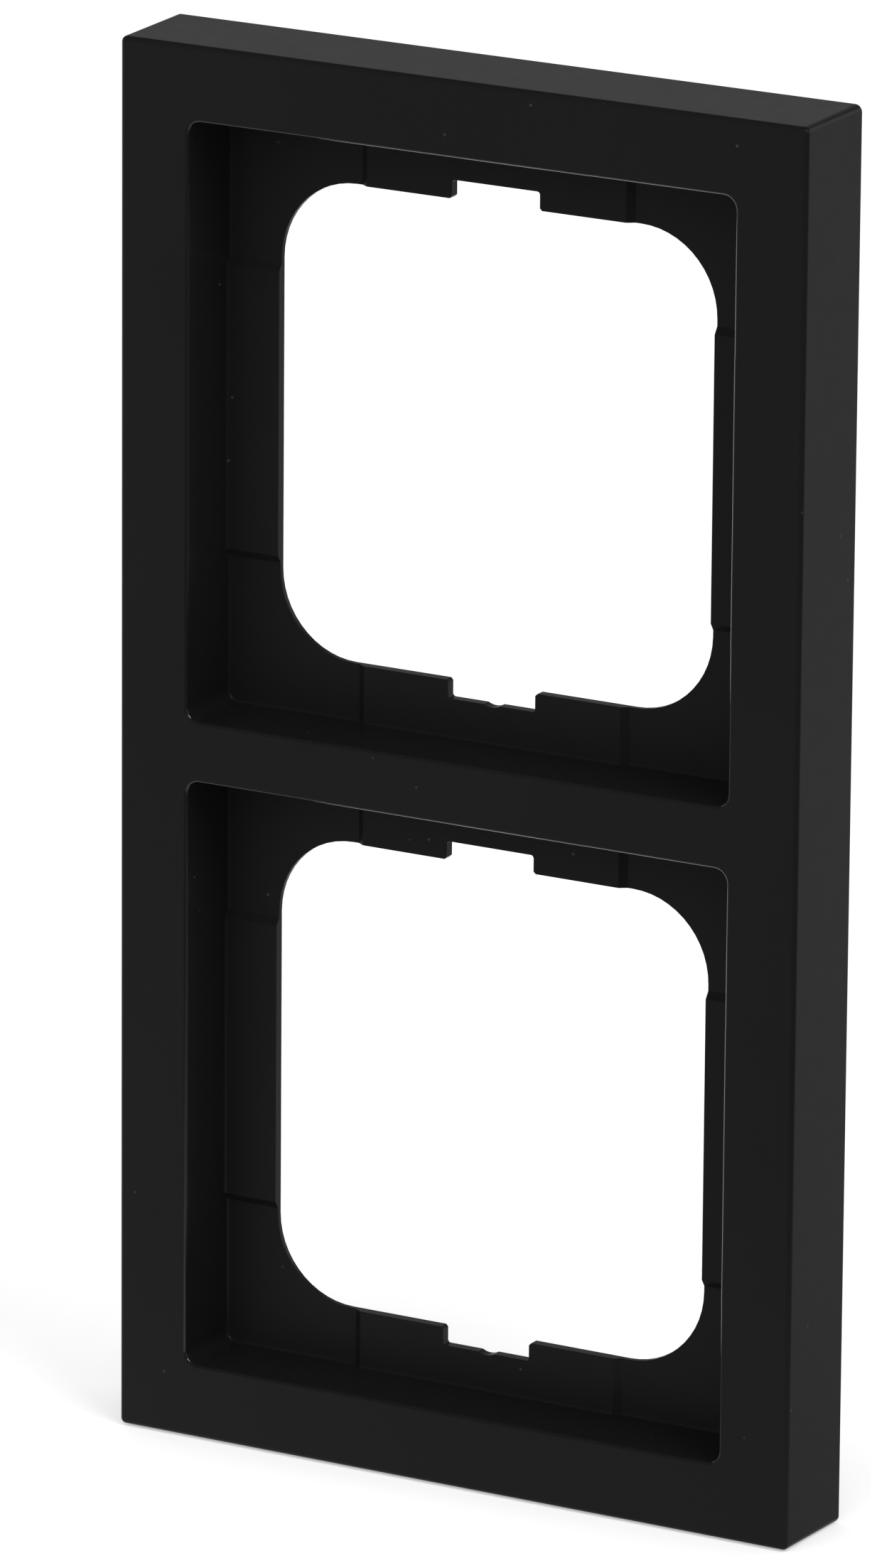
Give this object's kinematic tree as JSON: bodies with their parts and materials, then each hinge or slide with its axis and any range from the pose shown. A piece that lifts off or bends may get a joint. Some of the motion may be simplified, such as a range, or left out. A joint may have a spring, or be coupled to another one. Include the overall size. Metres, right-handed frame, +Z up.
{
  "type": "switch cover frame",
  "caption": "Flat rectangular wall cover frame in matt black plastic, with square recesses and round-cornered windows that trim flush-mounted switches and sockets.",
  "frame": {"origin": "middle of the back rim, on the wall plane", "axes": "+Z up along the frame's long side, +Y into the wall, -Y towards the viewer, +X to the viewer's right"},
  "size_m": [0.081, 0.0114, 0.152],
  "materials": {
    "black_plastic": "matt, with a fine moulded grain"
  },
  "bodies": {
    "root": {"cover_frame": "black_plastic"}
  },
  "joints": []
}
